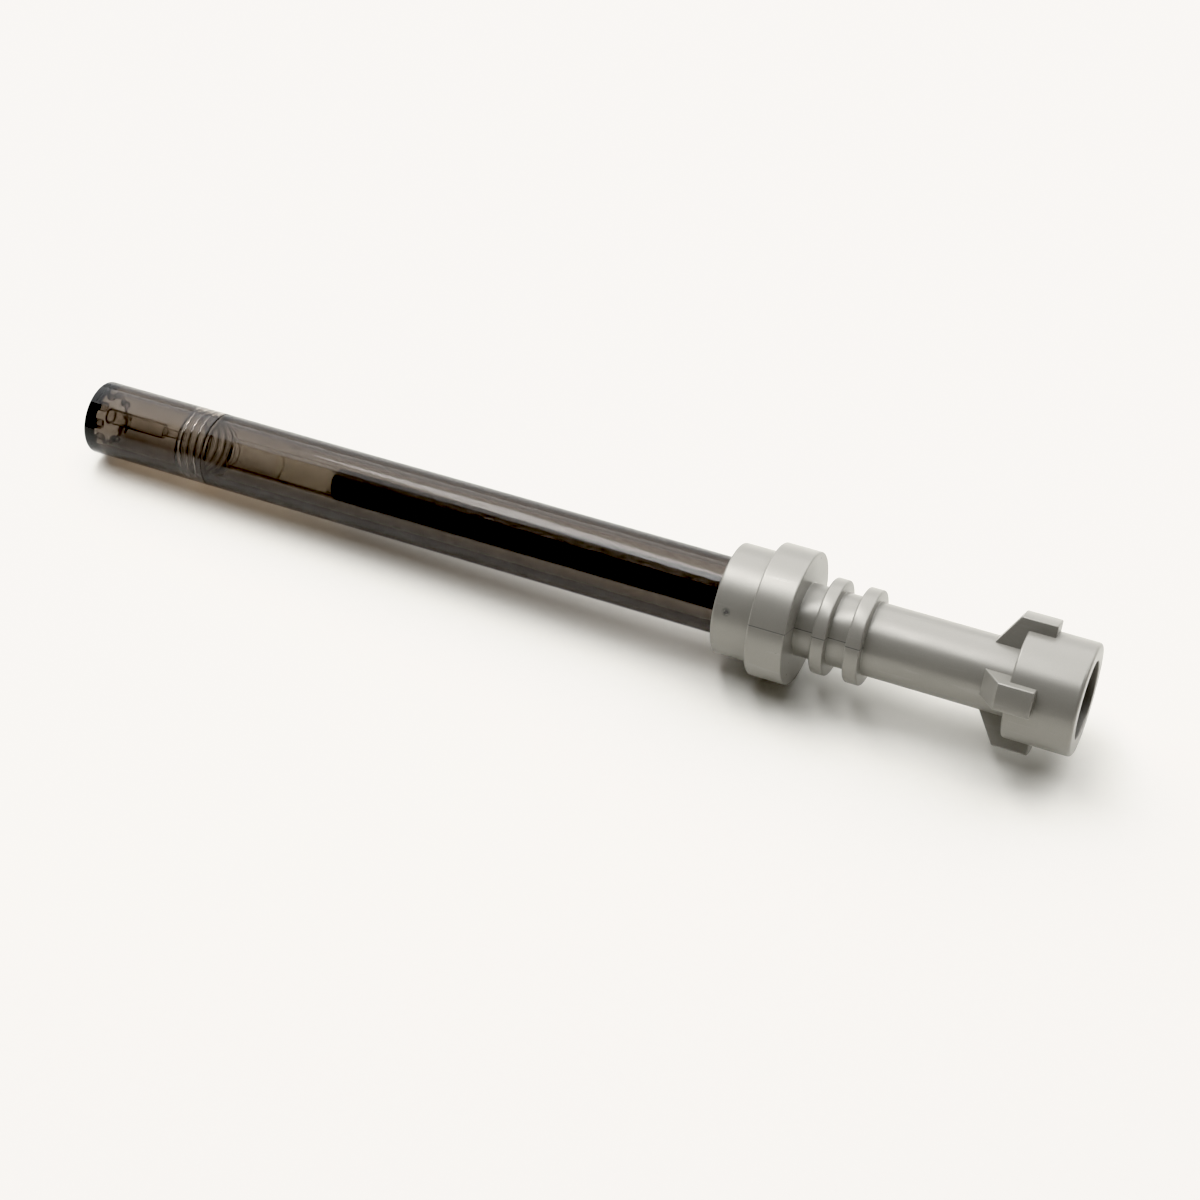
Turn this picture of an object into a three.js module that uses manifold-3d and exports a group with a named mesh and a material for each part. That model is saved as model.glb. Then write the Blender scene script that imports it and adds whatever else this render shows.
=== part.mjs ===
// A capped gel pen: a smoke-clear barrel with a screw-on tail cap, a gel refill inside it,
// and a stepped, lugged grip cap that pulls off over the writing end.
//
// The pen lies along X with its writing end at +X and +Z up. The origin is under the middle
// of the pen, at the height of the widest collar's underside. Sizes are in millimetres, and
// every station is a distance along the pen from its tail end.

import * as THREE from "three";
import { mergeVertices } from "three/addons/utils/BufferGeometryUtils.js";
import Module from "manifold-3d";

// ---------- Driving dimensions ----------

const SIDES = 24; // facets round every turned piece
const EDGE = 0.25; // broken edge on the moulded corners
const ROOT_SINK = 0.4; // how far a rib or a lug runs into the wall that carries it
const TRIM = 1; // how far a cutting outline runs past what it cuts
const SAME = 1e-3; // points closer than this are one point

const BARREL_R = 5.5;
const BARREL_BORE_R = 3.9;
const SEAM = 20.39; // where the tail cap meets the barrel
const SEAM_GAP = 0.12;
const BARREL_SHOULDER = 111.5; // the barrel steps down to its nose here, inside the grip cap
const BORE_TAPER_START = 109.5;
const BORE_TAPER_END = 111;
const NOSE_R = 3.45;
const NOSE_TAPER_START = 126;
const NOSE_END = 135.6;
const NOSE_END_R = 1.8;
const NOSE_BORE_R = 2.52;
const NOSE_BORE_END = 130;
const NOSE_HOLE_R = 1.35;
const NOSE_HOLE_START = 134.4;

const THREAD_PITCH = 1.2;
const THREAD_DEPTH = 0.35;
const THREAD_MINOR_R = 4.4; // on the barrel's spigot
const THREAD_CLEARANCE = 0.15; // the tail cap's thread stands off by this
const THREAD_ROWS_PER_TURN = 6;
const SPIGOT_START = 15.96;
const SPIGOT_GAP = 0.53; // from the spigot's end to the tail cap's inner shoulder
const THREAD_RUN_OUT = 0.4;

const TAIL_END_WALL = 1.25;
const TAIL_CAVITY_R = 4;
const TAIL_RIBS = 10; // short stiffening ribs in the corner of the end wall
const TAIL_RIB_FIRST_ANGLE = 31; // degrees above -Y, seen from the pen's tail
const TAIL_RIB_WIDTH = 1.1;
const TAIL_RIB_INNER_R = 3.3;
const TAIL_RIB_END = 2.4;
const STEM_R = 1.15;
const STEM_STEP = 10.83; // the stem thins here
const STEM_TIP_R = 0.65;
const STEM_END = 14.3;
const STEM_BORE_R = 0.75; // the stem is a thin tube, narrower in its tip
const STEM_TIP_BORE_R = 0.35;
const STEM_OFFSET = 0.35; // the stem stands this far off the pen's axis

const REFILL_R = 2.4;
const REFILL_BORE_R = 1.75;
const REFILL_START = 22.81;
const REFILL_END = 127.5;
const INK_START = 39.92;
const FOLLOWER_START = 30.7;
const FILL_R = 1.7; // ink and follower, just inside the refill's bore
const FILL_GAP = 0.3;

const ADAPTER_START = 122.8;
const ADAPTER_COLLAR = 127.8;
const ADAPTER_CONE = 130.2;
const ADAPTER_END = 133.4;
const ADAPTER_PLUG_R = 1.66;
const ADAPTER_CONE_R = 2.3;
const ADAPTER_NOSE_R = 1.45;
const ADAPTER_CHANNEL_R = 0.6;
const POINT_SOCKET_R = 1.22;
const POINT_GAP = 0.4; // from the point's inner end to the bottom of its socket

const POINT_START = 129;
const POINT_R = 1.15;
const POINT_CONE = 136.2;
const POINT_END = 138.05;
const POINT_END_R = 0.52;
const POINT_CHANNEL_R = 0.25;
const BALL_R = 0.35;
const BALL_CENTRE = 137.95;
const BALL_SOCKET_R = 0.41;
const BALL_SOCKET_START = 137.5;

const CAP_MOUTH = 101.75;
const COLLAR_1_R = 7.88;
const COLLAR_2 = 107.36;
const COLLAR_2_R = 9.53;
const COLLAR_2_END = 112.65;
const NECK_R = 5.14;
const RINGS = [
  { start: 115.55, end: 117.45, r: 6.74 },
  { start: 120.27, end: 122.37, r: 6.7 },
];
const HEAD = 142.62;
const HEAD_R = 7.785;
const HEAD_EDGE = 0.55; // radius of the rounded edge round the open end
const PEN_LENGTH = 151.96;
const CAP_BORE_R = 5.62;
const CAP_BORE_END = 112;
const NECK_BORE_R = 4.42;
const NECK_BORE_END = 141.6;
const VENT_R = 1.0;
const HEAD_BORE_R = 5.4;
const HEAD_BORE_DEPTH = 8.2;

const LUGS = 4;
const LUG_FIRST_ANGLE = 30; // degrees above -Y, seen from the pen's tail
const LUG_WIDTH = 3.75;
const LUG_R = 9.36;
const LUG_FOOT = 138.83;
const LUG_SHOULDER = 141.39;
const LUG_END = 146.3;

const LINER_START = 124;
const LINER_END = 141.2;
const LINER_R = 4.35;
const LINER_BORE_R = 3.6;
const LINER_LEAD_IN = 1; // length of the cone that guides the barrel's nose in
const LINER_WALL = 0.9;
const SEAL_START = 138.45;
const SEAL_R = 2.2;
const SEAL_GAP = 0.15;

// ---------- Materials ----------

function plastic(color, roughness, opacity = 1) {
  return new THREE.MeshStandardMaterial({
    color,
    roughness,
    metalness: 0,
    opacity,
    transparent: opacity < 1,
  });
}

const smoke = plastic(0x4a443e, 0.12, 0.55);
const clear = plastic(0xd8d6cf, 0.25, 0.5);
const grease = plastic(0xd9d2b8, 0.3, 0.6);
const ink = plastic(0x050506, 0.2);
const silver = new THREE.MeshStandardMaterial({
  color: 0xa9a6a0,
  roughness: 0.38,
  metalness: 0.45,
});
const steel = new THREE.MeshStandardMaterial({
  color: 0xc9c7c2,
  roughness: 0.25,
  metalness: 1,
});
const elastomer = plastic(0x2b2b2c, 0.75);

// ---------- Shape helpers ----------

const wasm = await Module();
wasm.setup();

const at = (station, radius) => new THREE.Vector2(radius, station);

// The solid that an outline of (radius, station) points sweeps round the X axis. The outline
// closes on itself or ends on the axis. Facets lie flat at the top, bottom and sides.
function turned(outline, sides = SIDES) {
  const facesOut = THREE.ShapeUtils.area(outline) > 0;
  const points = facesOut ? outline : [...outline].reverse();
  const geometry = new THREE.LatheGeometry(points, sides, Math.PI / sides);
  return geometry.rotateZ(-Math.PI / 2);
}

const closed = (outline) => [...outline, outline[0]];

// Lifts the surface between two stations into a right-handed thread, which fades out over the
// run-out at each end.
function cutThread(geometry, start, end, baseRadius, runOut) {
  const position = geometry.getAttribute("position");
  for (let i = 0; i < position.count; i += 1) {
    const station = position.getX(i);
    const y = position.getY(i);
    const z = position.getZ(i);
    const radius = Math.hypot(y, z);
    const between = station > start - SAME && station < end + SAME;
    if (!between || Math.abs(radius - baseRadius) > SAME) continue;
    const phase = (2 * Math.PI * station) / THREAD_PITCH - Math.atan2(z, y);
    const fade = runOut
      ? Math.min(1, (station - start) / runOut, (end - station) / runOut)
      : 1;
    const lift = (THREAD_DEPTH * fade * (1 + Math.cos(phase))) / 2;
    const scale = (radius + lift) / radius;
    position.setXYZ(i, station, y * scale, z * scale);
  }
  return geometry;
}

// Evenly spaced points along a cylinder, so that a thread can be cut into it.
function threadRows(start, end, radius) {
  const count = Math.round(((end - start) / THREAD_PITCH) * THREAD_ROWS_PER_TURN);
  return Array.from({ length: count + 1 }, (_, i) =>
    at(start + ((end - start) * i) / count, radius),
  );
}

function toSolid(geometry) {
  const bare = geometry.clone();
  bare.deleteAttribute("normal");
  bare.deleteAttribute("uv");
  const merged = mergeVertices(bare, SAME);
  return new wasm.Manifold(
    new wasm.Mesh({
      numProp: 3,
      vertProperties: new Float32Array(merged.getAttribute("position").array),
      triVerts: new Uint32Array(merged.index.array),
    }),
  );
}

function toGeometry(solid) {
  const mesh = solid.getMesh();
  const geometry = new THREE.BufferGeometry();
  geometry.setAttribute("position", new THREE.BufferAttribute(mesh.vertProperties, 3));
  geometry.setIndex(new THREE.BufferAttribute(mesh.triVerts, 1));
  geometry.computeVertexNormals();
  return geometry;
}

// A slab whose side outline is in (station, radius), centred on the plane through the X axis
// that stands at the given angle, in degrees above -Y.
function radialSlab(outline, width, angle) {
  const shape = new THREE.Shape(outline.map(([station, radius]) => new THREE.Vector2(station, radius)));
  const geometry = new THREE.ExtrudeGeometry(shape, { depth: width, bevelEnabled: false });
  geometry.translate(0, 0, -width / 2);
  geometry.rotateX(Math.PI - THREE.MathUtils.degToRad(angle));
  return geometry;
}

function piece(name, geometry, material) {
  const mesh = new THREE.Mesh(geometry, material);
  mesh.name = name;
  return mesh;
}

// ---------- Barrel and tail cap ----------

function makeBarrel() {
  const outline = closed([
    at(SPIGOT_START, BARREL_BORE_R),
    at(BORE_TAPER_START, BARREL_BORE_R),
    at(BORE_TAPER_END, NOSE_BORE_R),
    at(NOSE_BORE_END, NOSE_BORE_R),
    at(NOSE_HOLE_START, NOSE_HOLE_R),
    at(NOSE_END, NOSE_HOLE_R),
    at(NOSE_END, NOSE_END_R - EDGE),
    at(NOSE_END - EDGE, NOSE_END_R),
    at(NOSE_TAPER_START, NOSE_R),
    at(BARREL_SHOULDER + EDGE, NOSE_R),
    at(BARREL_SHOULDER, NOSE_R + EDGE),
    at(BARREL_SHOULDER, BARREL_R - EDGE),
    at(BARREL_SHOULDER - EDGE, BARREL_R),
    at(SEAM, BARREL_R),
    ...threadRows(SPIGOT_START, SEAM, THREAD_MINOR_R).reverse(),
  ]);
  const geometry = turned(outline);
  cutThread(geometry, SPIGOT_START, SEAM, THREAD_MINOR_R, THREAD_RUN_OUT);
  return piece("barrel", geometry, smoke);
}

function makeTailCap() {
  const mouth = SEAM - SEAM_GAP;
  const innerShoulder = SPIGOT_START - SPIGOT_GAP;
  const socketR = THREAD_MINOR_R + THREAD_CLEARANCE;
  const socketMouth = mouth - THREAD_RUN_OUT;
  const outline = [
    at(TAIL_END_WALL, 0),
    at(TAIL_END_WALL, TAIL_CAVITY_R),
    at(innerShoulder, TAIL_CAVITY_R),
    ...threadRows(innerShoulder, socketMouth, socketR),
    at(mouth, socketR + THREAD_DEPTH),
    at(mouth, BARREL_R),
    at(EDGE, BARREL_R),
    at(0, BARREL_R - EDGE),
    at(0, 0),
  ];
  const shell = turned(outline);
  cutThread(shell, innerShoulder, socketMouth, socketR, 0);
  let solid = toSolid(shell);

  const ribOutline = [
    [TAIL_END_WALL - ROOT_SINK, TAIL_RIB_INNER_R],
    [TAIL_RIB_END, TAIL_RIB_INNER_R],
    [TAIL_RIB_END, TAIL_CAVITY_R + ROOT_SINK],
    [TAIL_END_WALL - ROOT_SINK, TAIL_CAVITY_R + ROOT_SINK],
  ];
  for (let i = 0; i < TAIL_RIBS; i += 1) {
    const angle = TAIL_RIB_FIRST_ANGLE + (360 * i) / TAIL_RIBS;
    solid = solid.add(toSolid(radialSlab(ribOutline, TAIL_RIB_WIDTH, angle)));
  }

  const stemRoot = TAIL_END_WALL - ROOT_SINK;
  const stemOutline = closed([
    at(stemRoot, 0),
    at(TAIL_END_WALL, 0),
    at(TAIL_END_WALL, STEM_BORE_R),
    at(STEM_STEP, STEM_BORE_R),
    at(STEM_STEP, STEM_TIP_BORE_R),
    at(STEM_END, STEM_TIP_BORE_R),
    at(STEM_END, STEM_TIP_R),
    at(STEM_STEP + EDGE, STEM_TIP_R),
    at(STEM_STEP, STEM_R),
    at(stemRoot, STEM_R),
  ]);
  const stem = turned(stemOutline, SIDES / 2);
  stem.translate(0, STEM_OFFSET * Math.SQRT1_2, STEM_OFFSET * Math.SQRT1_2);
  solid = solid.add(toSolid(stem));
  return piece("tail_cap", toGeometry(solid), smoke);
}

// ---------- Refill ----------

function makeRefillTube() {
  const outline = closed([
    at(REFILL_START, REFILL_BORE_R),
    at(REFILL_END, REFILL_BORE_R),
    at(REFILL_END, REFILL_R),
    at(REFILL_START, REFILL_R),
  ]);
  return piece("refill_tube", turned(outline), clear);
}

function makeFill(name, start, end, material) {
  const outline = closed([at(start, 0), at(end, 0), at(end, FILL_R), at(start, FILL_R)]);
  return piece(name, turned(outline), material);
}

function makeTipAdapter() {
  const outline = closed([
    at(ADAPTER_START, ADAPTER_CHANNEL_R),
    at(POINT_START - POINT_GAP, ADAPTER_CHANNEL_R),
    at(POINT_START - POINT_GAP, POINT_SOCKET_R),
    at(ADAPTER_END, POINT_SOCKET_R),
    at(ADAPTER_END, ADAPTER_NOSE_R),
    at(ADAPTER_CONE, ADAPTER_CONE_R),
    at(ADAPTER_COLLAR, REFILL_R),
    at(ADAPTER_COLLAR, ADAPTER_PLUG_R),
    at(ADAPTER_START, ADAPTER_PLUG_R),
  ]);
  return piece("tip_adapter", turned(outline), clear);
}

function makeTipHousing() {
  const outline = closed([
    at(POINT_START, POINT_CHANNEL_R),
    at(BALL_SOCKET_START, POINT_CHANNEL_R),
    at(BALL_SOCKET_START, BALL_SOCKET_R),
    at(POINT_END, BALL_SOCKET_R),
    at(POINT_END, POINT_END_R),
    at(POINT_CONE, POINT_R),
    at(POINT_START, POINT_R),
  ]);
  return piece("tip_housing", turned(outline), steel);
}

function makeTipBall() {
  const ball = new THREE.SphereGeometry(BALL_R, 16, 10);
  ball.rotateZ(-Math.PI / 2);
  ball.translate(BALL_CENTRE, 0, 0);
  return piece("tip_ball", ball, steel);
}

// ---------- Grip cap ----------

// The outline of a raised ring from foot to foot, with broken edges.
function ringOutline({ start, end, r }, footBefore, footAfter) {
  return [
    at(start, footBefore),
    at(start, r - EDGE),
    at(start + EDGE, r),
    at(end - EDGE, r),
    at(end, r - EDGE),
    at(end, footAfter),
  ];
}

function makeGripCap() {
  const headBoreStart = PEN_LENGTH - HEAD_BORE_DEPTH;
  const collar1 = { start: CAP_MOUTH, end: COLLAR_2 + EDGE, r: COLLAR_1_R };
  const collar2 = { start: COLLAR_2, end: COLLAR_2_END, r: COLLAR_2_R };
  const headEdgeMiddle = HEAD_EDGE * (1 - Math.SQRT1_2); // halfway round the edge's arc
  const outside = [
    at(collar1.start, collar1.r - EDGE),
    at(collar1.start + EDGE, collar1.r),
    ...ringOutline(collar2, COLLAR_1_R, NECK_R),
    ...RINGS.flatMap((ring) => ringOutline(ring, NECK_R, NECK_R)),
    at(HEAD, NECK_R),
    at(HEAD, HEAD_R - EDGE),
    at(HEAD + EDGE, HEAD_R),
    at(PEN_LENGTH - HEAD_EDGE, HEAD_R),
    at(PEN_LENGTH - headEdgeMiddle, HEAD_R - headEdgeMiddle),
    at(PEN_LENGTH, HEAD_R - HEAD_EDGE),
  ];
  const inside = [
    at(PEN_LENGTH, HEAD_BORE_R),
    at(headBoreStart, HEAD_BORE_R),
    at(headBoreStart, VENT_R),
    at(NECK_BORE_END, VENT_R),
    at(NECK_BORE_END, NECK_BORE_R),
    at(CAP_BORE_END, NECK_BORE_R),
    at(CAP_BORE_END, CAP_BORE_R),
    at(CAP_MOUTH + EDGE, CAP_BORE_R),
    at(CAP_MOUTH, CAP_BORE_R + EDGE),
  ];
  const shell = turned(closed([...outside, ...inside]));

  const lugOutline = [
    [LUG_FOOT, NECK_R],
    [LUG_SHOULDER, LUG_R],
    [LUG_SHOULDER, LUG_R + TRIM],
    [LUG_END, LUG_R + TRIM],
    [LUG_END, HEAD_R - ROOT_SINK],
    [HEAD + ROOT_SINK, HEAD_R - ROOT_SINK],
    [HEAD + ROOT_SINK, NECK_R - ROOT_SINK],
    [LUG_FOOT, NECK_R - ROOT_SINK],
  ];
  const envelopeOutline = closed([
    at(LUG_FOOT - TRIM, 0),
    at(LUG_END + TRIM, 0),
    at(LUG_END + TRIM, LUG_R),
    at(LUG_FOOT - TRIM, LUG_R),
  ]);
  const envelope = toSolid(turned(envelopeOutline, 2 * SIDES));
  let solid = toSolid(shell);
  for (let i = 0; i < LUGS; i += 1) {
    const angle = LUG_FIRST_ANGLE + (360 * i) / LUGS;
    const lug = toSolid(radialSlab(lugOutline, LUG_WIDTH, angle)).intersect(envelope);
    solid = solid.add(lug);
  }
  return piece("grip_cap", toGeometry(solid), silver);
}

function makeInnerCap() {
  const outline = [
    at(LINER_END, 0),
    at(LINER_END, LINER_R - EDGE),
    at(LINER_END - EDGE, LINER_R),
    at(LINER_START, LINER_R),
    at(LINER_START, LINER_BORE_R + EDGE),
    at(LINER_START + LINER_LEAD_IN, LINER_BORE_R),
    at(LINER_END - LINER_WALL, LINER_BORE_R),
    at(LINER_END - LINER_WALL, 0),
  ];
  return piece("inner_cap", turned(outline), clear);
}

function makeTipSeal() {
  const end = LINER_END - LINER_WALL - SEAL_GAP;
  const outline = closed([
    at(SEAL_START, 0),
    at(end, 0),
    at(end, SEAL_R),
    at(SEAL_START + EDGE, SEAL_R),
    at(SEAL_START, SEAL_R - EDGE),
  ]);
  return piece("tip_seal", turned(outline), elastomer);
}

// ---------- Assembly ----------

const refill = new THREE.Group();
refill.add(
  makeRefillTube(),
  makeFill("ink_follower", FOLLOWER_START, INK_START - FILL_GAP, grease),
  makeFill("ink_column", INK_START, ADAPTER_START - FILL_GAP, ink),
  makeTipAdapter(),
  makeTipHousing(),
  makeTipBall(),
);

const cap = new THREE.Group();
cap.add(makeGripCap(), makeInnerCap(), makeTipSeal());

const pen = new THREE.Group();
pen.add(makeBarrel(), makeTailCap(), refill, cap);
pen.position.set(-PEN_LENGTH / 2, 0, COLLAR_2_R * Math.cos(Math.PI / SIDES));

const root = new THREE.Group();
root.add(pen);

export default root;
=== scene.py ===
"""Looks for the capped gel pen: one detailed piece for each CAD node, on a pale studio floor.

The pen lies along X. A station is a distance in millimetres along the pen from its tail end, and
an angle is in degrees above -Y, seen from the tail, so that 90 is the top of the pen.
"""

import math

import bmesh
import bpy
import numpy as np
from mathutils import Matrix, Quaternion, Vector


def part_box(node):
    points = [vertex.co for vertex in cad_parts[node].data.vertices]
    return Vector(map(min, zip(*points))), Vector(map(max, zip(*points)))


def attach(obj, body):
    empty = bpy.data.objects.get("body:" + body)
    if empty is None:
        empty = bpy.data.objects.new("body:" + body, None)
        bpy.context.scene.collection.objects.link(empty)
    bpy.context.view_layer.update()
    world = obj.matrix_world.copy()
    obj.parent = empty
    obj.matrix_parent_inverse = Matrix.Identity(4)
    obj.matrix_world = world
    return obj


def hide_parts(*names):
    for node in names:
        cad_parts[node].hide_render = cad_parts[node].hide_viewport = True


MM = 0.001
SEGMENTS = 144  # round a turned piece
FINE_SEGMENTS = 192  # round a piece with threads, ribs or glass-clear walls
ARC_STEPS = 5  # straight steps in a rounded corner
SHARP_ANGLE = math.radians(40)  # an edge that turns more than this stays sharp

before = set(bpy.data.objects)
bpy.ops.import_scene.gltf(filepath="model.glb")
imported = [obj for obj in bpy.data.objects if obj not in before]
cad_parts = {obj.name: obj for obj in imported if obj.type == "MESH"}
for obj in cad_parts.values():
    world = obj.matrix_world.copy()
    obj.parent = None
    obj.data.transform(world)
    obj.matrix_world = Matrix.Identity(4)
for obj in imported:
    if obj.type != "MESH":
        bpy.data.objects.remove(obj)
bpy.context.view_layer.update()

TAIL_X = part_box("tail_cap")[0].x
AXIS_Z = sum(corner.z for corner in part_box("barrel")) / 2


def ends(node):
    """The first and last station of a CAD node."""
    low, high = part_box(node)
    return (low.x - TAIL_X) / MM, (high.x - TAIL_X) / MM


def half_height(node):
    """Half the height of a CAD node, in millimetres."""
    low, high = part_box(node)
    return (high.z - low.z) / 2 / MM


# ---------- Sizes, in millimetres ----------

SPIGOT_START, NOSE_END = ends("barrel")
TAIL_START, TAIL_MOUTH = ends("tail_cap")
REFILL_START, REFILL_END = ends("refill_tube")
FOLLOWER_START, FOLLOWER_END = ends("ink_follower")
INK_START, INK_END = ends("ink_column")
ADAPTER_START, ADAPTER_END = ends("tip_adapter")
POINT_START, POINT_END = ends("tip_housing")
BALL_START, BALL_END = ends("tip_ball")
CAP_MOUTH, PEN_LENGTH = ends("grip_cap")
LINER_START, LINER_END = ends("inner_cap")
SEAL_START, SEAL_END = ends("tip_seal")

SEAM_GAP = 0.12
SEAM = TAIL_MOUTH + SEAM_GAP
BARREL_R = 5.5
BARREL_BORE_R = 3.9
SHOULDER = 111.5
BORE_TAPER_START = 109.5
BORE_TAPER_END = 111
NOSE_R = 3.45
NOSE_TAPER = 126
NOSE_BORE_R = 2.52
NOSE_BORE_END = 130
NOSE_HOLE_R = 1.35
NOSE_HOLE_START = 134.4
NOSE_END_R = 1.8

THREAD_PITCH = 1.2
THREAD_DEPTH = 0.35
THREAD_MINOR_R = 4.4
THREAD_CLEARANCE = 0.15
THREAD_ROWS = 28  # rows of points in one turn of thread
THREAD_RUN_OUT = 0.4
THREAD_STEEPNESS = 2
SAME_R = 1e-4  # two radii this close are the same wall

TAIL_END_WALL = 1.25
TAIL_EDGE = 0.35
TAIL_CAVITY_R = 4
SPIGOT_GAP = 0.53
TAIL_SHOULDER = SPIGOT_START - SPIGOT_GAP
RIBS = 10
RIB_WIDTH = 1.1
RIB_INNER_R = 3.3
RIB_END = 2.4
RIB_FIRST_ANGLE = 31
RIB_FOOT = 0.1  # a rib's side slopes out to this much past its width
RIB_SIDE_SLOPE = 0.12
RIB_END_SLOPE = 0.03
STEM_R = 1.15
STEM_LEAN_R = 1.6 * STEM_R  # the whole lean inside this radius, none at the ribs
STEM_STEP = 10.83
STEM_SHOULDER = 0.3
STEM_TIP_R = 0.65
STEM_END = 14.3
STEM_BORE_R = 0.95
STEM_TIP_BORE_R = 0.5
STEM_OFFSET = 0.35

REFILL_R = 2.4
REFILL_BORE_R = 1.75
INK_R = 1.79  # wets the refill's bore, so it reaches a little past it
INK_SLANT = 0.35
INK_SLANT_REACH = 2
FILL_CLEARANCE = 0.02
MENISCUS_R = 0.6  # of the fill's radius, where its hollow ends turn flat

ADAPTER_COLLAR = 127.8
ADAPTER_CONE = 130.2
ADAPTER_PLUG_R = 1.66
ADAPTER_CONE_R = 2.3
ADAPTER_NOSE_R = 1.45
ADAPTER_CHANNEL_R = 0.6
POINT_SOCKET_R = 1.22
POINT_R = 1.15
POINT_CONE = 136.2
POINT_END_R = 0.52
POINT_CHANNEL_R = 0.25
POINT_GAP = 0.4
POINT_RINGS = (130.0, 131.0, 132.0)
POINT_RING_HALF = 0.12
POINT_RING_DEPTH = 0.07
BALL_SOCKET_START = 137.5
BALL_SOCKET_R = 0.41
BALL_ROWS = 33
BALL_SEGMENTS = 48

COLLAR_1_R = 7.88
COLLAR_2 = 107.36
COLLAR_2_END = 112.65
COLLAR_2_R = half_height("grip_cap")
NECK_R = 5.14
RINGS = ((115.55, 117.45, 6.74), (120.27, 122.37, 6.7))
HEAD = 142.62
HEAD_R = 7.785
CAP_BORE_R = 5.62
CAP_LEAD_IN = 0.3
CAP_BORE_END = 112
NECK_BORE_R = 4.42
NECK_BORE_END = 141.6
VENT_R = 1.0
HEAD_BORE_R = 5.4
HEAD_BORE_DEPTH = 8.2
PARTING_ANGLE = 30
SCUFF = 103.7
SCUFF_ANGLE = 32.5

LUGS = 4
LUG_FIRST_ANGLE = 30
LUG_WIDTH = 3.75
LUG_R = 9.36
LUG_FOOT = 138.83
LUG_SHOULDER = 141.39
LUG_END = 146.3
LUG_SINK = 0.5
LUG_EDGE = 0.2
LUG_CROWN_CUTS = 7

LINER_R = 4.35
LINER_BORE_R = 3.6
LINER_WALL = 0.9
LINER_LEAD_IN = 1
SEAL_R = 2.2
SEAL_DISH = 0.2

LINE_HALF = 0.03  # half the width of the cap's parting line
LINE_BLUR = 0.05
LINE_END_BLUR = 0.3
LINE_START = COLLAR_2 + 0.2
LINE_END = RINGS[1][1]
SCUFF_CORE = 0.2
SCUFF_REACH = 0.7
BORE_SHADE_START = 0.2  # how deep in the head's bore its shade begins, and where it is full
BORE_SHADE_FULL = 2
FACE_HALF = 0.04  # how far each side of a joint's face its shade reaches
SEAM_HALF = 0.05
SHADE_EDGE = 0.1


# ---------- Mesh helpers ----------


def rounded(corners):
    """An outline of (station, radius) points from (station, radius, rounding) corners."""
    points = []
    count = len(corners)
    for i, (station, radius, rounding) in enumerate(corners):
        here = np.array((station, radius))
        if rounding == 0:
            points.append(here)
            continue
        before = np.array(corners[i - 1][:2]) - here
        after = np.array(corners[(i + 1) % count][:2]) - here
        reach = min(rounding, np.linalg.norm(before) / 2, np.linalg.norm(after) / 2)
        start = here + before / np.linalg.norm(before) * reach
        end = here + after / np.linalg.norm(after) * reach
        for t in np.linspace(0, 1, ARC_STEPS + 1):
            points.append((1 - t) ** 2 * start + 2 * t * (1 - t) * here + t**2 * end)
    return np.array(points)


def swept(outline, segments):
    """Points round the X axis for each (station, radius) of an outline: rows by segments by 3."""
    angle = np.linspace(0, 2 * math.pi, segments, endpoint=False)
    station, radius = outline[:, :1], outline[:, 1:]
    return np.stack(
        (
            np.repeat(station, segments, axis=1),
            -radius * np.cos(angle),
            radius * np.sin(angle),
        ),
        axis=-1,
    )


def smooth_mesh(name, points, faces):
    """A smooth-shaded object whose sharp corners stay sharp. Points are in millimetres."""
    mesh = bpy.data.meshes.new(name)
    placed = np.array(points) * MM + np.array((TAIL_X, 0, AXIS_Z))
    mesh.from_pydata(placed.tolist(), [], faces)
    surface = bmesh.new()
    surface.from_mesh(mesh)
    bmesh.ops.remove_doubles(surface, verts=surface.verts, dist=1e-8)
    bmesh.ops.recalc_face_normals(surface, faces=surface.faces)
    surface.to_mesh(mesh)
    surface.free()
    mesh.polygons.foreach_set("use_smooth", [True] * len(mesh.polygons))
    mesh.set_sharp_from_angle(angle=SHARP_ANGLE)
    obj = bpy.data.objects.new(name, mesh)
    bpy.context.scene.collection.objects.link(obj)
    weighted = obj.modifiers.new("even_normals", "WEIGHTED_NORMAL")
    weighted.keep_sharp = True
    return obj


def turned(name, corners, segments=SEGMENTS, shape=None):
    """A closed body of revolution. Shape, if given, moves its points in place."""
    outline = corners if isinstance(corners, np.ndarray) else rounded(corners)
    points = swept(outline, segments)
    if shape:
        shape(points)
    rows = len(outline)
    on_axis = outline[:, 1] < 1e-6
    if on_axis.any():
        first = int(np.argmax(on_axis))
        order = [(first + i) % rows for i in range(rows)]
    else:
        order = list(range(rows))
    faces = []
    for a, b in zip(order, order[1:] + order[:1]):
        if on_axis[a] and on_axis[b]:
            continue
        for i in range(segments):
            j = (i + 1) % segments
            if on_axis[a]:
                faces.append((a * segments, b * segments + i, b * segments + j))
            elif on_axis[b]:
                faces.append((a * segments + i, b * segments, a * segments + j))
            else:
                faces.append(
                    (
                        a * segments + i,
                        b * segments + i,
                        b * segments + j,
                        a * segments + j,
                    )
                )
    return smooth_mesh(name, points.reshape(-1, 3), faces)


def rows_between(start, end, radius, count):
    """Evenly spaced outline points along a cylinder."""
    return np.array([(s, radius) for s in np.linspace(start, end, count)])


def angle_of(points):
    """Each point's angle round the pen, in radians above -Y."""
    return np.arctan2(points[..., 2], -points[..., 1])


def scale_radius(points, chosen, change):
    """Adds a change, in millimetres, to the radius of the chosen points."""
    radius = np.hypot(points[..., 1], points[..., 2])
    factor = np.where(chosen, (radius + change) / np.maximum(radius, 1e-9), 1.0)
    points[..., 1] *= factor
    points[..., 2] *= factor


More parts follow.
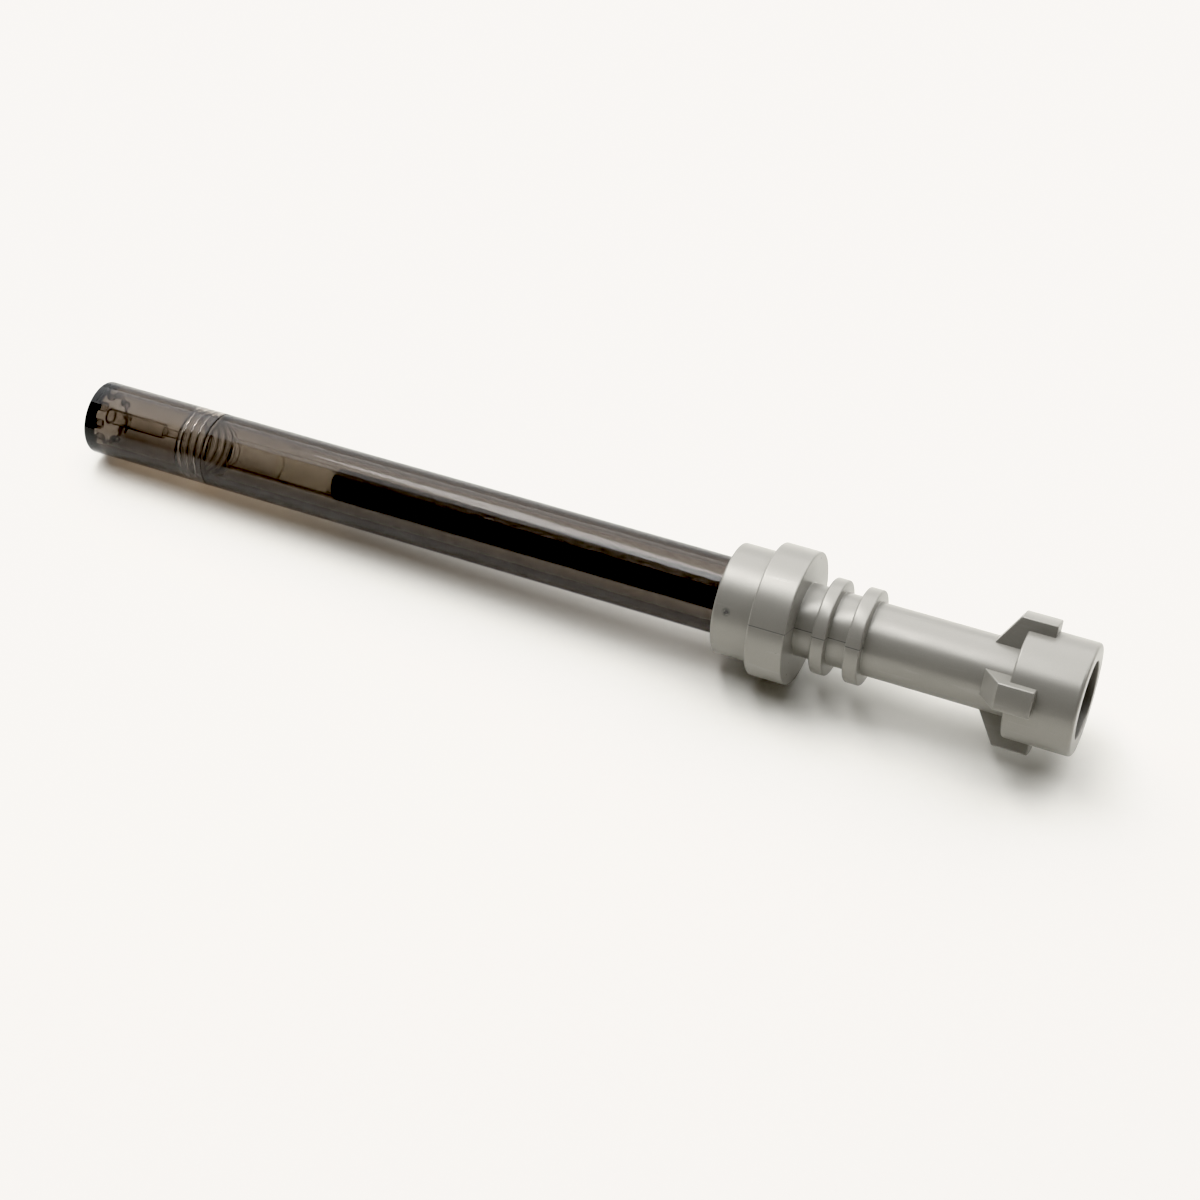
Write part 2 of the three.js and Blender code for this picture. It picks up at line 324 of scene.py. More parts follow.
def thread_lift(points, start, end):
    """How far a right-handed thread stands up at each point, fading out at both its ends."""
    station = points[..., 0]
    phase = 2 * math.pi * station / THREAD_PITCH - np.arctan2(
        points[..., 2], points[..., 1]
    )
    crest = np.clip(0.5 + THREAD_STEEPNESS * np.cos(phase), 0, 1)
    fade = np.clip(
        np.minimum(station - start, end - station) / THREAD_RUN_OUT, 0, 1
    )
    return THREAD_DEPTH * crest * fade


def thread_rows(start, end, radius):
    """Outline points close enough together to carry a thread."""
    count = round((end - start) / THREAD_PITCH * THREAD_ROWS) + 1
    return rows_between(start, end, radius, count)


# ---------- Barrel and tail cap ----------


def make_barrel():
    inside_and_nose = rounded(
        [
            (SPIGOT_START, BARREL_BORE_R, 0.1),
            (BORE_TAPER_START, BARREL_BORE_R, 0.5),
            (BORE_TAPER_END, NOSE_BORE_R, 0.3),
            (NOSE_BORE_END, NOSE_BORE_R, 0.3),
            (NOSE_HOLE_START, NOSE_HOLE_R, 0.1),
            (NOSE_END, NOSE_HOLE_R, 0.08),
            (NOSE_END, NOSE_END_R, 0.2),
            (NOSE_TAPER, NOSE_R, 1.5),
            (SHOULDER, NOSE_R, 0.15),
            (SHOULDER, BARREL_R, 0.3),
            (SEAM, BARREL_R, 0.1),
            (SEAM, THREAD_MINOR_R, 0),
        ]
    )
    spigot = thread_rows(SPIGOT_START, SEAM, THREAD_MINOR_R)[::-1][1:]
    outline = np.concatenate((inside_and_nose, spigot))

    def cut_thread(points):
        radius = np.hypot(points[..., 1], points[..., 2])
        on_spigot = (points[..., 0] < SEAM) & (radius > THREAD_MINOR_R - 0.1)
        scale_radius(points, on_spigot, thread_lift(points, SPIGOT_START, SEAM))

    return turned("barrel_shell", outline, FINE_SEGMENTS, cut_thread)


def shape_tail_cap(points):
    """Gives the tail cap its thread, the ribs at its closed end and its leaning stem."""
    station = points[..., 0]
    radius = np.hypot(points[..., 1], points[..., 2])
    socket_r = THREAD_MINOR_R + THREAD_CLEARANCE
    on_socket = (station > TAIL_SHOULDER + SAME_R) & (np.abs(radius - socket_r) < SAME_R)
    scale_radius(points, on_socket, thread_lift(points, TAIL_SHOULDER - 1, SEAM + 1))

    on_wall = (station < RIB_END) & (np.abs(radius - TAIL_CAVITY_R) < SAME_R)
    pitch = 2 * math.pi / RIBS
    off_rib = (angle_of(points) - math.radians(RIB_FIRST_ANGLE) + pitch / 2) % pitch
    across = np.abs(off_rib - pitch / 2) * TAIL_CAVITY_R
    rib = np.clip((RIB_WIDTH / 2 + RIB_FOOT - across) / RIB_SIDE_SLOPE, 0, 1)
    scale_radius(points, on_wall, (RIB_INNER_R - TAIL_CAVITY_R) * rib)

    near_stem = np.clip((RIB_INNER_R - radius) / (RIB_INNER_R - STEM_LEAN_R), 0, 1)
    lean = STEM_OFFSET * math.sqrt(0.5) * near_stem * (station > TAIL_END_WALL / 2)
    points[..., 1] += lean
    points[..., 2] += lean


def make_tail_cap():
    stem_and_cavity = rounded(
        [
            (TAIL_END_WALL, 0, 0),
            (TAIL_END_WALL, STEM_BORE_R, 0.1),
            (STEM_STEP, STEM_BORE_R, 0.1),
            (STEM_STEP, STEM_TIP_BORE_R, 0.1),
            (STEM_END, STEM_TIP_BORE_R, 0.05),
            (STEM_END, STEM_TIP_R, 0.1),
            (STEM_STEP + STEM_SHOULDER, STEM_TIP_R, 0.1),
            (STEM_STEP, STEM_R, 0.15),
            (TAIL_END_WALL, STEM_R, 0.5),
            (TAIL_END_WALL, TAIL_CAVITY_R, 0),
            (RIB_END - RIB_END_SLOPE, TAIL_CAVITY_R, 0),
            (RIB_END + RIB_END_SLOPE, TAIL_CAVITY_R, 0),
            (TAIL_SHOULDER, TAIL_CAVITY_R, 0.1),
            (TAIL_SHOULDER, THREAD_MINOR_R + THREAD_CLEARANCE, 0),
        ]
    )
    socket_end = TAIL_MOUTH - THREAD_RUN_OUT
    socket = thread_rows(TAIL_SHOULDER, socket_end, THREAD_MINOR_R + THREAD_CLEARANCE)
    outside = rounded(
        [
            (TAIL_MOUTH, THREAD_MINOR_R + THREAD_CLEARANCE + THREAD_DEPTH, 0),
            (TAIL_MOUTH, BARREL_R, 0.1),
            (TAIL_START, BARREL_R, TAIL_EDGE),
            (TAIL_START, 0, 0),
        ]
    )
    outline = np.concatenate((stem_and_cavity, socket[1:], outside))
    return turned("tail_cap_shell", outline, FINE_SEGMENTS, shape_tail_cap)


# ---------- Refill ----------


def make_refill_tube():
    corners = [
        (REFILL_START, REFILL_BORE_R, 0.1),
        (REFILL_END, REFILL_BORE_R, 0.05),
        (REFILL_END, REFILL_R, 0.1),
        (REFILL_START, REFILL_R, 0.2),
    ]
    return turned("refill_wall", corners, FINE_SEGMENTS)


def make_follower():
    fill_r = REFILL_BORE_R - FILL_CLEARANCE
    corners = [
        (FOLLOWER_START + 0.7, 0, 0),
        (FOLLOWER_START + 0.5, fill_r * MENISCUS_R, 0.4),
        (FOLLOWER_START, fill_r, 0.1),
        (FOLLOWER_END, fill_r, 0.1),
        (FOLLOWER_END - 0.3, fill_r * MENISCUS_R, 0.4),
        (FOLLOWER_END - 0.4, 0, 0),
    ]
    return turned("follower_grease", corners)


def make_ink():
    corners = [
        (INK_START + 0.1, 0, 0),
        (INK_START + 0.1, INK_R, 0.5),
        (INK_END, INK_R, 0.1),
        (INK_END, 0, 0),
    ]

    def slant_end(points):
        near_end = points[..., 0] < INK_START + INK_SLANT_REACH
        down = (1 - points[..., 2] / INK_R) / 2
        points[..., 0] += np.where(near_end, INK_SLANT * down, 0)

    return turned("ink_fill", corners, FINE_SEGMENTS, slant_end)


def make_tip_adapter():
    corners = [
        (ADAPTER_START, ADAPTER_CHANNEL_R, 0.08),
        (POINT_START - POINT_GAP, ADAPTER_CHANNEL_R, 0.05),
        (POINT_START - POINT_GAP, POINT_SOCKET_R, 0.05),
        (ADAPTER_END, POINT_SOCKET_R, 0.05),
        (ADAPTER_END, ADAPTER_NOSE_R, 0.1),
        (ADAPTER_CONE, ADAPTER_CONE_R, 0.3),
        (ADAPTER_COLLAR, REFILL_R, 0.15),
        (ADAPTER_COLLAR, ADAPTER_PLUG_R, 0.05),
        (ADAPTER_START, ADAPTER_PLUG_R, 0.15),
    ]
    return turned("adapter_plug", corners)


def make_tip_housing():
    grooves = []
    for ring in POINT_RINGS:
        grooves += [
            (ring + POINT_RING_HALF, POINT_R, 0.03),
            (ring, POINT_R - POINT_RING_DEPTH, 0.05),
            (ring - POINT_RING_HALF, POINT_R, 0.03),
        ]
    corners = [
        (POINT_START, POINT_CHANNEL_R, 0.05),
        (BALL_SOCKET_START, POINT_CHANNEL_R, 0.05),
        (BALL_SOCKET_START, BALL_SOCKET_R, 0.05),
        (POINT_END, BALL_SOCKET_R, 0.02),
        (POINT_END, POINT_END_R, 0.06),
        (POINT_CONE, POINT_R, 0.25),
        *sorted(grooves, key=lambda corner: -corner[0]),
        (POINT_START, POINT_R, 0.1),
    ]
    return turned("point_body", corners)


def make_tip_ball():
    radius = (BALL_END - BALL_START) / 2
    centre = (BALL_START + BALL_END) / 2
    turn = np.linspace(0, math.pi, BALL_ROWS)
    outline = np.stack((centre - radius * np.cos(turn), radius * np.sin(turn)), axis=1)
    outline[[0, -1], 1] = 0
    return turned("point_ball", outline, BALL_SEGMENTS)


# ---------- Grip cap ----------


def ring_corners(start, end, radius, foot_before, foot_after):
    """The corners of a raised ring from foot to foot."""
    return [
        (start, foot_before, 0.12),
        (start, radius, 0.28),
        (end, radius, 0.28),
        (end, foot_after, 0.12),
    ]


def make_cap_shell():
    corners = [
        (CAP_MOUTH, CAP_BORE_R + CAP_LEAD_IN / 2, 0.15),
        (CAP_MOUTH, COLLAR_1_R, 0.35),
        *ring_corners(COLLAR_2, COLLAR_2_END, COLLAR_2_R, COLLAR_1_R, NECK_R),
        *ring_corners(*RINGS[0], NECK_R, NECK_R),
        *ring_corners(*RINGS[1], NECK_R, NECK_R),
        (HEAD, NECK_R, 0.12),
        (HEAD, HEAD_R, 0.3),
        (PEN_LENGTH, HEAD_R, 0.55),
        (PEN_LENGTH, HEAD_BORE_R, 0.2),
        (PEN_LENGTH - HEAD_BORE_DEPTH, HEAD_BORE_R, 0.4),
        (PEN_LENGTH - HEAD_BORE_DEPTH, VENT_R, 0.1),
        (NECK_BORE_END, VENT_R, 0.1),
        (NECK_BORE_END, NECK_BORE_R, 0.3),
        (CAP_BORE_END, NECK_BORE_R, 0.2),
        (CAP_BORE_END, CAP_BORE_R, 0.3),
        (CAP_MOUTH + CAP_LEAD_IN, CAP_BORE_R, 0.1),
    ]
    return turned("grip_cap_shell", corners, FINE_SEGMENTS)


def make_lug(angle):
    """One lug: a ramp from the neck and a block on the head, with rounded edges."""
    side = [
        (LUG_FOOT, NECK_R),
        (LUG_SHOULDER, LUG_R),
        (LUG_END, LUG_R),
        (LUG_END, HEAD_R - LUG_SINK),
        (HEAD + LUG_SINK, HEAD_R - LUG_SINK),
        (HEAD + LUG_SINK, NECK_R - LUG_SINK),
        (LUG_FOOT - 0.2, NECK_R - LUG_SINK),
    ]
    block = bmesh.new()
    near = [block.verts.new((s, -LUG_WIDTH / 2, r)) for s, r in side]
    far = [block.verts.new((s, LUG_WIDTH / 2, r)) for s, r in side]
    block.faces.new(near)
    block.faces.new(far[::-1])
    count = len(side)
    for i in range(count):
        j = (i + 1) % count
        block.faces.new((near[j], near[i], far[i], far[j]))
    bmesh.ops.recalc_face_normals(block, faces=block.faces)
    bmesh.ops.bevel(
        block,
        geom=[e for e in block.edges if max(v.co.z for v in e.verts) > HEAD_R],
        offset=LUG_EDGE,
        offset_type="OFFSET",
        segments=4,
        profile=0.5,
        affect="EDGES",
    )
    crown = [
        e
        for e in block.edges
        if abs(e.verts[0].co.z - e.verts[1].co.z) < 1e-6
        and abs(e.verts[0].co.y - e.verts[1].co.y) > LUG_WIDTH / 2
    ]
    bmesh.ops.subdivide_edges(block, edges=crown, cuts=LUG_CROWN_CUTS)
    for v in block.verts:
        v.co.z -= LUG_R - math.sqrt(LUG_R**2 - v.co.y**2)
    turn = Matrix.Rotation(math.radians(90 - angle), 4, "X")
    placed = Matrix.Translation((TAIL_X, 0, AXIS_Z)) @ Matrix.Scale(MM, 4) @ turn
    bmesh.ops.transform(block, matrix=placed, verts=block.verts)
    return block


def make_grip_cap():
    """The cap's shell with its lugs set into the neck and the head."""
    cap = make_cap_shell()
    whole = bmesh.new()
    whole.from_mesh(cap.data)
    for i in range(LUGS):
        lug = make_lug(LUG_FIRST_ANGLE + 360 / LUGS * i)
        part = bpy.data.meshes.new("lug")
        lug.to_mesh(part)
        lug.free()
        whole.from_mesh(part)
        bpy.data.meshes.remove(part)
    whole.to_mesh(cap.data)
    whole.free()
    cap.data.polygons.foreach_set("use_smooth", [True] * len(cap.data.polygons))
    cap.data.set_sharp_from_angle(angle=SHARP_ANGLE)
    return cap


def make_inner_cap():
    corners = [
        (LINER_END, 0, 0),
        (LINER_END, LINER_R, 0.3),
        (LINER_START, LINER_R, 0.1),
        (LINER_START, LINER_BORE_R + 0.25, 0.1),
        (LINER_START + LINER_LEAD_IN, LINER_BORE_R, 0.3),
        (LINER_END - LINER_WALL, LINER_BORE_R, 0.3),
        (LINER_END - LINER_WALL, 0, 0),
    ]
    return turned("liner_shell", corners)


def make_tip_seal():
    corners = [
        (SEAL_START + SEAL_DISH, 0, 0),
        (SEAL_START, SEAL_R * 0.6, 0.3),
        (SEAL_START, SEAL_R, 0.25),
        (SEAL_END, SEAL_R, 0.1),
        (SEAL_END, 0, 0),
    ]
    return turned("seal_pad", corners)


# ---------- Materials ----------


class Nodes:
    """A material's node tree, built a node at a time."""

    def __init__(self, name):
        self.material = bpy.data.materials.new(name)
        self.material.use_nodes = True
        self.tree = self.material.node_tree
        self.tree.nodes.clear()
        self.coordinates = self.add("ShaderNodeTexCoord").outputs["Object"]

    def add(self, kind, **values):
        """A new node. A value is a socket to link from, or a constant for that input."""
        node = self.tree.nodes.new(kind)
        for name, value in values.items():
            self.put(node.inputs[name.replace("_", " ")], value)
        return node

    def put(self, socket, value):
        if isinstance(value, bpy.types.NodeSocket):
            self.tree.links.new(value, socket)
        else:
            socket.default_value = value

    def noise(self, scale, detail=3.0, stretch=(1, 1, 1)):
        """Noise with a cell of about 1/scale metres, drawn out along an axis by stretch."""
        mapping = self.add("ShaderNodeMapping", Vector=self.coordinates, Scale=stretch)
        return self.add(
            "ShaderNodeTexNoise",
            Vector=mapping.outputs["Vector"],
            Scale=scale,
            Detail=detail,
        ).outputs["Fac"]

    def ramp(self, value, low, high, start=0.0, end=1.0):
        """The value taken from low..high to start..end, clamped."""
        node = self.tree.nodes.new("ShaderNodeMapRange")
        self.put(node.inputs["Value"], value)
        node.inputs["From Min"].default_value = low
        node.inputs["From Max"].default_value = high
        node.inputs["To Min"].default_value = start
        node.inputs["To Max"].default_value = end
        return node.outputs["Result"]

    def blend(self, factor, first, second):
        """A colour between two colours."""
        node = self.tree.nodes.new("ShaderNodeMix")
        node.data_type = "RGBA"
        self.put(node.inputs["Factor"], factor)
        self.put(node.inputs["A"], first)
        self.put(node.inputs["B"], second)
        return node.outputs["Result"]

    def along(self, direction):
        """How far a point lies along a direction."""
        node = self.tree.nodes.new("ShaderNodeVectorMath")
        node.operation = "DOT_PRODUCT"
        self.put(node.inputs[0], self.coordinates)
        node.inputs[1].default_value = direction
        return node.outputs["Value"]

    def math(self, operation, first, second):
        node = self.tree.nodes.new("ShaderNodeMath")
        node.operation = operation
        self.put(node.inputs[0], first)
        self.put(node.inputs[1], second)
        return node.outputs[0]

    def bump(self, height, distance, strength=1.0, normal=None):
        node = self.add("ShaderNodeBump", Height=height, Distance=distance, Strength=strength)
        if normal:
            self.put(node.inputs["Normal"], normal)
        return node.outputs["Normal"]

    def finish(self, shader, volume=None):
        out = self.add("ShaderNodeOutputMaterial", Surface=shader)
        if volume:
            self.put(out.inputs["Volume"], volume)
        return self.material


def colour(red, green, blue):
    return (red, green, blue, 1.0)


def scratches(nodes, scale, along):
    """Fine hairlines: 1 on a scratch, 0 off it."""
    lines = nodes.noise(scale, 2.0, along)
    return nodes.ramp(lines, 0.66, 0.72)


def between(nodes, value, low, high, blur):
    """1 where a value lies between two limits, fading to 0 over the blur outside them."""
    above = nodes.ramp(value, low - blur, low)
    below = nodes.ramp(value, high, high + blur, 1.0, 0.0)
    return nodes.math("MULTIPLY", above, below)


def parting_line(nodes):
    """1 on the mould's parting line along the cap's front collars, 0 elsewhere."""
    tilt = math.radians(PARTING_ANGLE)
    across = nodes.along((0, math.sin(tilt), math.cos(tilt)))
    middle = AXIS_Z * math.cos(tilt)
    reach = LINE_HALF * MM
    line = between(nodes, across, middle - reach, middle + reach, LINE_BLUR * MM)
    station = nodes.along((1, 0, 0))
    low, high = (TAIL_X + end * MM for end in (LINE_START, LINE_END))
    ends_here = between(nodes, station, low, high, LINE_END_BLUR * MM)
    return nodes.math("MULTIPLY", line, ends_here)


def painted_bore_shade(nodes):
    """Painted shade: 1 deep in the head's bore, where shade falls, 0 at its mouth and elsewhere.
    """
    _, radius = turn_and_radius(nodes)
    station = station_of(nodes)
    inside = nodes.ramp(radius, HEAD_BORE_R + 0.02, HEAD_BORE_R + SHADE_EDGE, 1.0, 0.0)
    depth = nodes.ramp(station, PEN_LENGTH - BORE_SHADE_START, PEN_LENGTH - BORE_SHADE_FULL)
    in_head = nodes.ramp(station, HEAD, HEAD + SHADE_EDGE)
    return nodes.math("MULTIPLY", nodes.math("MULTIPLY", inside, depth), in_head)


def scuff(nodes):
    """1 on a small rubbed mark on the front of the first collar, 0 elsewhere."""
    tilt = math.radians(SCUFF_ANGLE)
    place = (
        TAIL_X + SCUFF * MM,
        -COLLAR_1_R * math.cos(tilt) * MM,
        AXIS_Z + COLLAR_1_R * math.sin(tilt) * MM,
    )
    offset = nodes.tree.nodes.new("ShaderNodeVectorMath")
    offset.operation = "DISTANCE"
    nodes.put(offset.inputs[0], nodes.coordinates)
    offset.inputs[1].default_value = place
    distance = offset.outputs["Value"]
    near = nodes.ramp(distance, SCUFF_CORE * MM, SCUFF_REACH * MM, 1.0, 0.0)
    return nodes.math("MULTIPLY", near, nodes.ramp(nodes.noise(2500, 3.0), 0.35, 0.5))


def station_of(nodes):
    """A point's station, in millimetres."""
    start = nodes.math("SUBTRACT", nodes.along((1, 0, 0)), TAIL_X)
    return nodes.math("DIVIDE", start, MM)


def turn_and_radius(nodes):
    """A point's angle above +Y, in radians, and its distance from the axis, in millimetres."""
    across = nodes.math("DIVIDE", nodes.along((0, 1, 0)), MM)
    up = nodes.math("DIVIDE", nodes.math("SUBTRACT", nodes.along((0, 0, 1)), AXIS_Z), MM)
    squares = [nodes.math("MULTIPLY", side, side) for side in (across, up)]
    radius = nodes.math("POWER", nodes.math("ADD", *squares), 0.5)
    return nodes.math("ARCTAN2", up, across), radius


def painted_joint_shade(nodes):
    """Painted shade: 1 where the smoke plastic's joint, thread flanks and solid end are darkened
    in place of light the clear walls bend away, 0 elsewhere.
    """
    station = station_of(nodes)
    turn, radius = turn_and_radius(nodes)
    wound = nodes.math("MULTIPLY", station, 2 * math.pi / THREAD_PITCH)
    slope = nodes.math("COSINE", nodes.math("SUBTRACT", wound, turn), 0.0)
    flank = nodes.ramp(nodes.math("ABSOLUTE", slope, 0.0), 0.15, 0.5, 1.0, 0.0)
    on_thread = between(nodes, station, SPIGOT_START, SEAM - THREAD_RUN_OUT, SHADE_EDGE)
    faces = [
        between(nodes, station, face - FACE_HALF, face + FACE_HALF, FACE_HALF)
        for face in (TAIL_SHOULDER, SPIGOT_START)
    ]
    inner_faces = nodes.math("MAXIMUM", *faces)
    thread = nodes.math("MAXIMUM", nodes.math("MULTIPLY", flank, on_thread), inner_faces)
    inside = nodes.ramp(radius, BARREL_R - 0.3, BARREL_R - 0.2, 1.0, 0.0)
    seam = between(nodes, station, TAIL_MOUTH - SEAM_HALF, SEAM + SEAM_HALF, FACE_HALF)
    # The solid end's outer rim gets the same painted shade.
    end = nodes.ramp(station, TAIL_END_WALL - 0.2, TAIL_END_WALL, 1.0, 0.0)
    end_rim = nodes.math("MULTIPLY", end, nodes.math("SUBTRACT", 1.0, inside))
    outside = nodes.math("MAXIMUM", seam, end_rim)
    return nodes.math("MAXIMUM", nodes.math("MULTIPLY", thread, inside), outside)


def clear_shader(nodes, glass, shade):
    """Glass that lets lamps through, tinted by shade."""
    lamp = nodes.add("ShaderNodeLightPath").outputs["Is Shadow Ray"]
    open_to_lamps = nodes.add("ShaderNodeBsdfTransparent", Color=shade)
    mix = nodes.add("ShaderNodeMixShader", Fac=lamp)
    nodes.put(mix.inputs[1], glass)
    nodes.put(mix.inputs[2], open_to_lamps.outputs["BSDF"])
    return mix.outputs["Shader"]


def smoke_plastic():
    nodes = Nodes("smoke_plastic")
    handling = nodes.noise(240, 4.0)
    hairlines = scratches(nodes, 900, (0.12, 1, 1))
    roughness = nodes.math(
        "ADD",
        nodes.ramp(handling, 0.4, 0.75, 0.015, 0.05),
        nodes.math("MULTIPLY", hairlines, 0.06),
    )
    waves = nodes.bump(nodes.noise(120, 1.0, (0.3, 1, 1)), 0.00001, 0.15)
    plain = nodes.blend(handling, colour(0.95, 0.94, 0.92), colour(0.98, 0.97, 0.95))
    shader = nodes.add(
        "ShaderNodeBsdfPrincipled",
        # Painted shade: the base colour goes near black on the joint, thread flanks and solid end.
        Base_Color=nodes.blend(painted_joint_shade(nodes), plain, colour(0.06, 0.055, 0.06)),
        Roughness=roughness,
        IOR=1.31,
        Transmission_Weight=1.0,
        Normal=nodes.bump(hairlines, 0.000004, 0.3, waves),
    )
    absorbed = nodes.add(
        "ShaderNodeVolumeAbsorption", Color=colour(0.523, 0.477, 0.436), Density=1380.0
    )
    surface = clear_shader(nodes, shader.outputs["BSDF"], colour(1.0, 0.98, 0.95))
    return nodes.finish(surface, absorbed.outputs["Volume"])


def refill_plastic():
    nodes = Nodes("refill_plastic")
    drawn = nodes.noise(700, 2.0, (0.05, 1, 1))
    shader = nodes.add(
        "ShaderNodeBsdfPrincipled",
        Base_Color=nodes.blend(drawn, colour(0.94, 0.94, 0.92), colour(0.99, 0.99, 0.98)),
        Roughness=nodes.ramp(drawn, 0.3, 0.7, 0.03, 0.09),
        IOR=1.36,
        Transmission_Weight=1.0,
        Normal=nodes.bump(drawn, 0.00001, 0.08),
    )
    return nodes.finish(clear_shader(nodes, shader.outputs["BSDF"], colour(0.97, 0.97, 0.96)))


def follower_grease():
    nodes = Nodes("follower_grease")
    cloud = nodes.noise(500, 3.0)
    shader = nodes.add(
        "ShaderNodeBsdfPrincipled",
        Base_Color=nodes.blend(cloud, colour(0.93, 0.92, 0.86), colour(0.98, 0.97, 0.93)),
        Roughness=nodes.ramp(cloud, 0.3, 0.7, 0.04, 0.12),
        IOR=1.12,
        Transmission_Weight=1.0,
        Normal=nodes.bump(cloud, 0.00002, 0.2),
    )
    return nodes.finish(clear_shader(nodes, shader.outputs["BSDF"], colour(0.97, 0.97, 0.94)))


def black_ink():
    nodes = Nodes("black_ink")
    cloud = nodes.noise(400, 3.0)
    shader = nodes.add(
        "ShaderNodeBsdfPrincipled",
        Base_Color=nodes.blend(cloud, colour(0.001, 0.001, 0.0012), colour(0.004, 0.004, 0.005)),
        Roughness=nodes.ramp(cloud, 0.3, 0.7, 0.12, 0.25),
        Specular_IOR_Level=0.1,
        Normal=nodes.bump(cloud, 0.00001, 0.2),
    )
    return nodes.finish(shader.outputs["BSDF"])


def silver_plastic():
    nodes = Nodes("silver_plastic")
    flakes = nodes.noise(9000, 1.0)
    cloud = nodes.noise(150, 3.0)
    hairlines = scratches(nodes, 1100, (0.1, 1, 1))
    flash = nodes.math("MAXIMUM", parting_line(nodes), scuff(nodes))
    # The mould line and scuff are real marks; deep in the bore this is painted shade.
    dark = nodes.math("MAXIMUM", nodes.math("MULTIPLY", flash, 0.85), painted_bore_shade(nodes))
    waves = nodes.bump(nodes.noise(420, 2.0, (0.5, 1, 1)), 0.00002, 0.35)
    grain = nodes.blend(flakes, colour(0.215, 0.205, 0.183), colour(0.255, 0.244, 0.218))
    rubbed = nodes.blend(nodes.math("MULTIPLY", hairlines, 0.12), grain, colour(0.36, 0.35, 0.33))
    roughness = nodes.math(
        "ADD",
        nodes.ramp(cloud, 0.35, 0.7, 0.31, 0.37),
        nodes.math("MULTIPLY", hairlines, -0.04),
    )
    shader = nodes.add(
        "ShaderNodeBsdfPrincipled",
        # Near black on the marks, and as painted shade deep in the head's bore.
        Base_Color=nodes.blend(dark, rubbed, colour(0.045, 0.045, 0.05)),
        Metallic=0.3,
        Roughness=roughness,
        Normal=nodes.bump(flakes, 0.000002, 0.1, nodes.bump(flash, 0.00003, 0.5, waves)),
    )
    return nodes.finish(shader.outputs["BSDF"])


def liner_plastic():
    nodes = Nodes("liner_plastic")
    cloud = nodes.noise(300, 3.0)
    shader = nodes.add(
        "ShaderNodeBsdfPrincipled",
        Base_Color=nodes.blend(cloud, colour(0.72, 0.72, 0.69), colour(0.82, 0.82, 0.8)),
        Roughness=nodes.ramp(cloud, 0.3, 0.7, 0.32, 0.5),
        Subsurface_Weight=0.3,
        Subsurface_Scale=0.0005,
        Normal=nodes.bump(cloud, 0.00001, 0.3),
    )
    return nodes.finish(shader.outputs["BSDF"])


def point_steel():
    nodes = Nodes("point_steel")
    turning = nodes.noise(5000, 2.0, (1, 0.02, 0.02))
    shader = nodes.add(
        "ShaderNodeBsdfPrincipled",
        Base_Color=nodes.blend(turning, colour(0.55, 0.54, 0.52), colour(0.7, 0.69, 0.66)),
        Metallic=1.0,
        Roughness=nodes.ramp(turning, 0.3, 0.7, 0.16, 0.32),
        Normal=nodes.bump(turning, 0.000004, 0.4),
    )
    return nodes.finish(shader.outputs["BSDF"])


def seal_rubber():
    nodes = Nodes("seal_rubber")
    cloud = nodes.noise(1500, 4.0)
    shader = nodes.add(
        "ShaderNodeBsdfPrincipled",
        Base_Color=nodes.blend(cloud, colour(0.02, 0.02, 0.021), colour(0.045, 0.045, 0.047)),
        Roughness=nodes.ramp(cloud, 0.3, 0.7, 0.6, 0.85),
        Normal=nodes.bump(cloud, 0.00002, 0.5),
    )
    return nodes.finish(shader.outputs["BSDF"])


# ---------- The pieces ----------

PIECES = (
    (make_barrel, "barrel", "barrel", smoke_plastic),
    (make_tail_cap, "tail_cap", "tail_cap", smoke_plastic),
    (make_refill_tube, "refill_tube", "refill", refill_plastic),
    (make_follower, "ink_follower", "refill", follower_grease),
    (make_ink, "ink_column", "refill", black_ink),
    (make_tip_adapter, "tip_adapter", "refill", refill_plastic),
    (make_tip_housing, "tip_housing", "refill", point_steel),
    (make_tip_ball, "tip_ball", "tip_ball", point_steel),
    (make_grip_cap, "grip_cap", "grip_cap", silver_plastic),
    (make_inner_cap, "inner_cap", "grip_cap", liner_plastic),
    (make_tip_seal, "tip_seal", "grip_cap", seal_rubber),
)


def build_pieces():
    """Each piece takes its CAD node's place and moves with its body."""
    finishes = {}
    for make, node, body, finish in PIECES:
        if finish not in finishes:
            finishes[finish] = finish()
        obj = make()
        obj.data.materials.append(finishes[finish])
        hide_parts(node)
        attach(obj, body)


# ---------- Studio ----------

FLOOR_REACH = 3.0  # metres
FILM_BLACK = 0.015
FILM_KNEE = (0.75, 0.77)  # light in and out, where the roll-off begins
FILM_WHITE = 1.3  # light in that is drawn as paper
FILM_PAPER = (0.942, 0.924, 0.902)  # where bright paper ends up, in linear red, green and blue


def floor_height(x):
    """The floor's height, in metres: it carries the widest collar and the tail's rim."""
    x1 = TAIL_X + COLLAR_2 * MM
    z1 = AXIS_Z - COLLAR_2_R * MM
    z0 = AXIS_Z - BARREL_R * MM
    return z1 + (x - x1) * (z1 - z0) / (x1 - TAIL_X)


def make_floor():
    sides = ((-1, -1), (1, -1), (1, 1), (-1, 1))
    plan = [(x * FLOOR_REACH, y * FLOOR_REACH) for x, y in sides]
    corners = [(x, y, floor_height(x)) for x, y in plan]
    mesh = bpy.data.meshes.new("floor")
    mesh.from_pydata(corners, [], [(0, 1, 2, 3)])
    floor = bpy.data.objects.new("floor", mesh)
    bpy.context.scene.collection.objects.link(floor)
    nodes = Nodes("floor_paper")
    tooth = nodes.noise(800, 2.0)
    shader = nodes.add(
        "ShaderNodeBsdfPrincipled",
        Base_Color=nodes.blend(tooth, colour(0.9, 0.88, 0.82), colour(0.93, 0.91, 0.85)),
        Roughness=0.9,
        Specular_IOR_Level=0.1,
    )
    mesh.materials.append(nodes.finish(shader.outputs["BSDF"]))


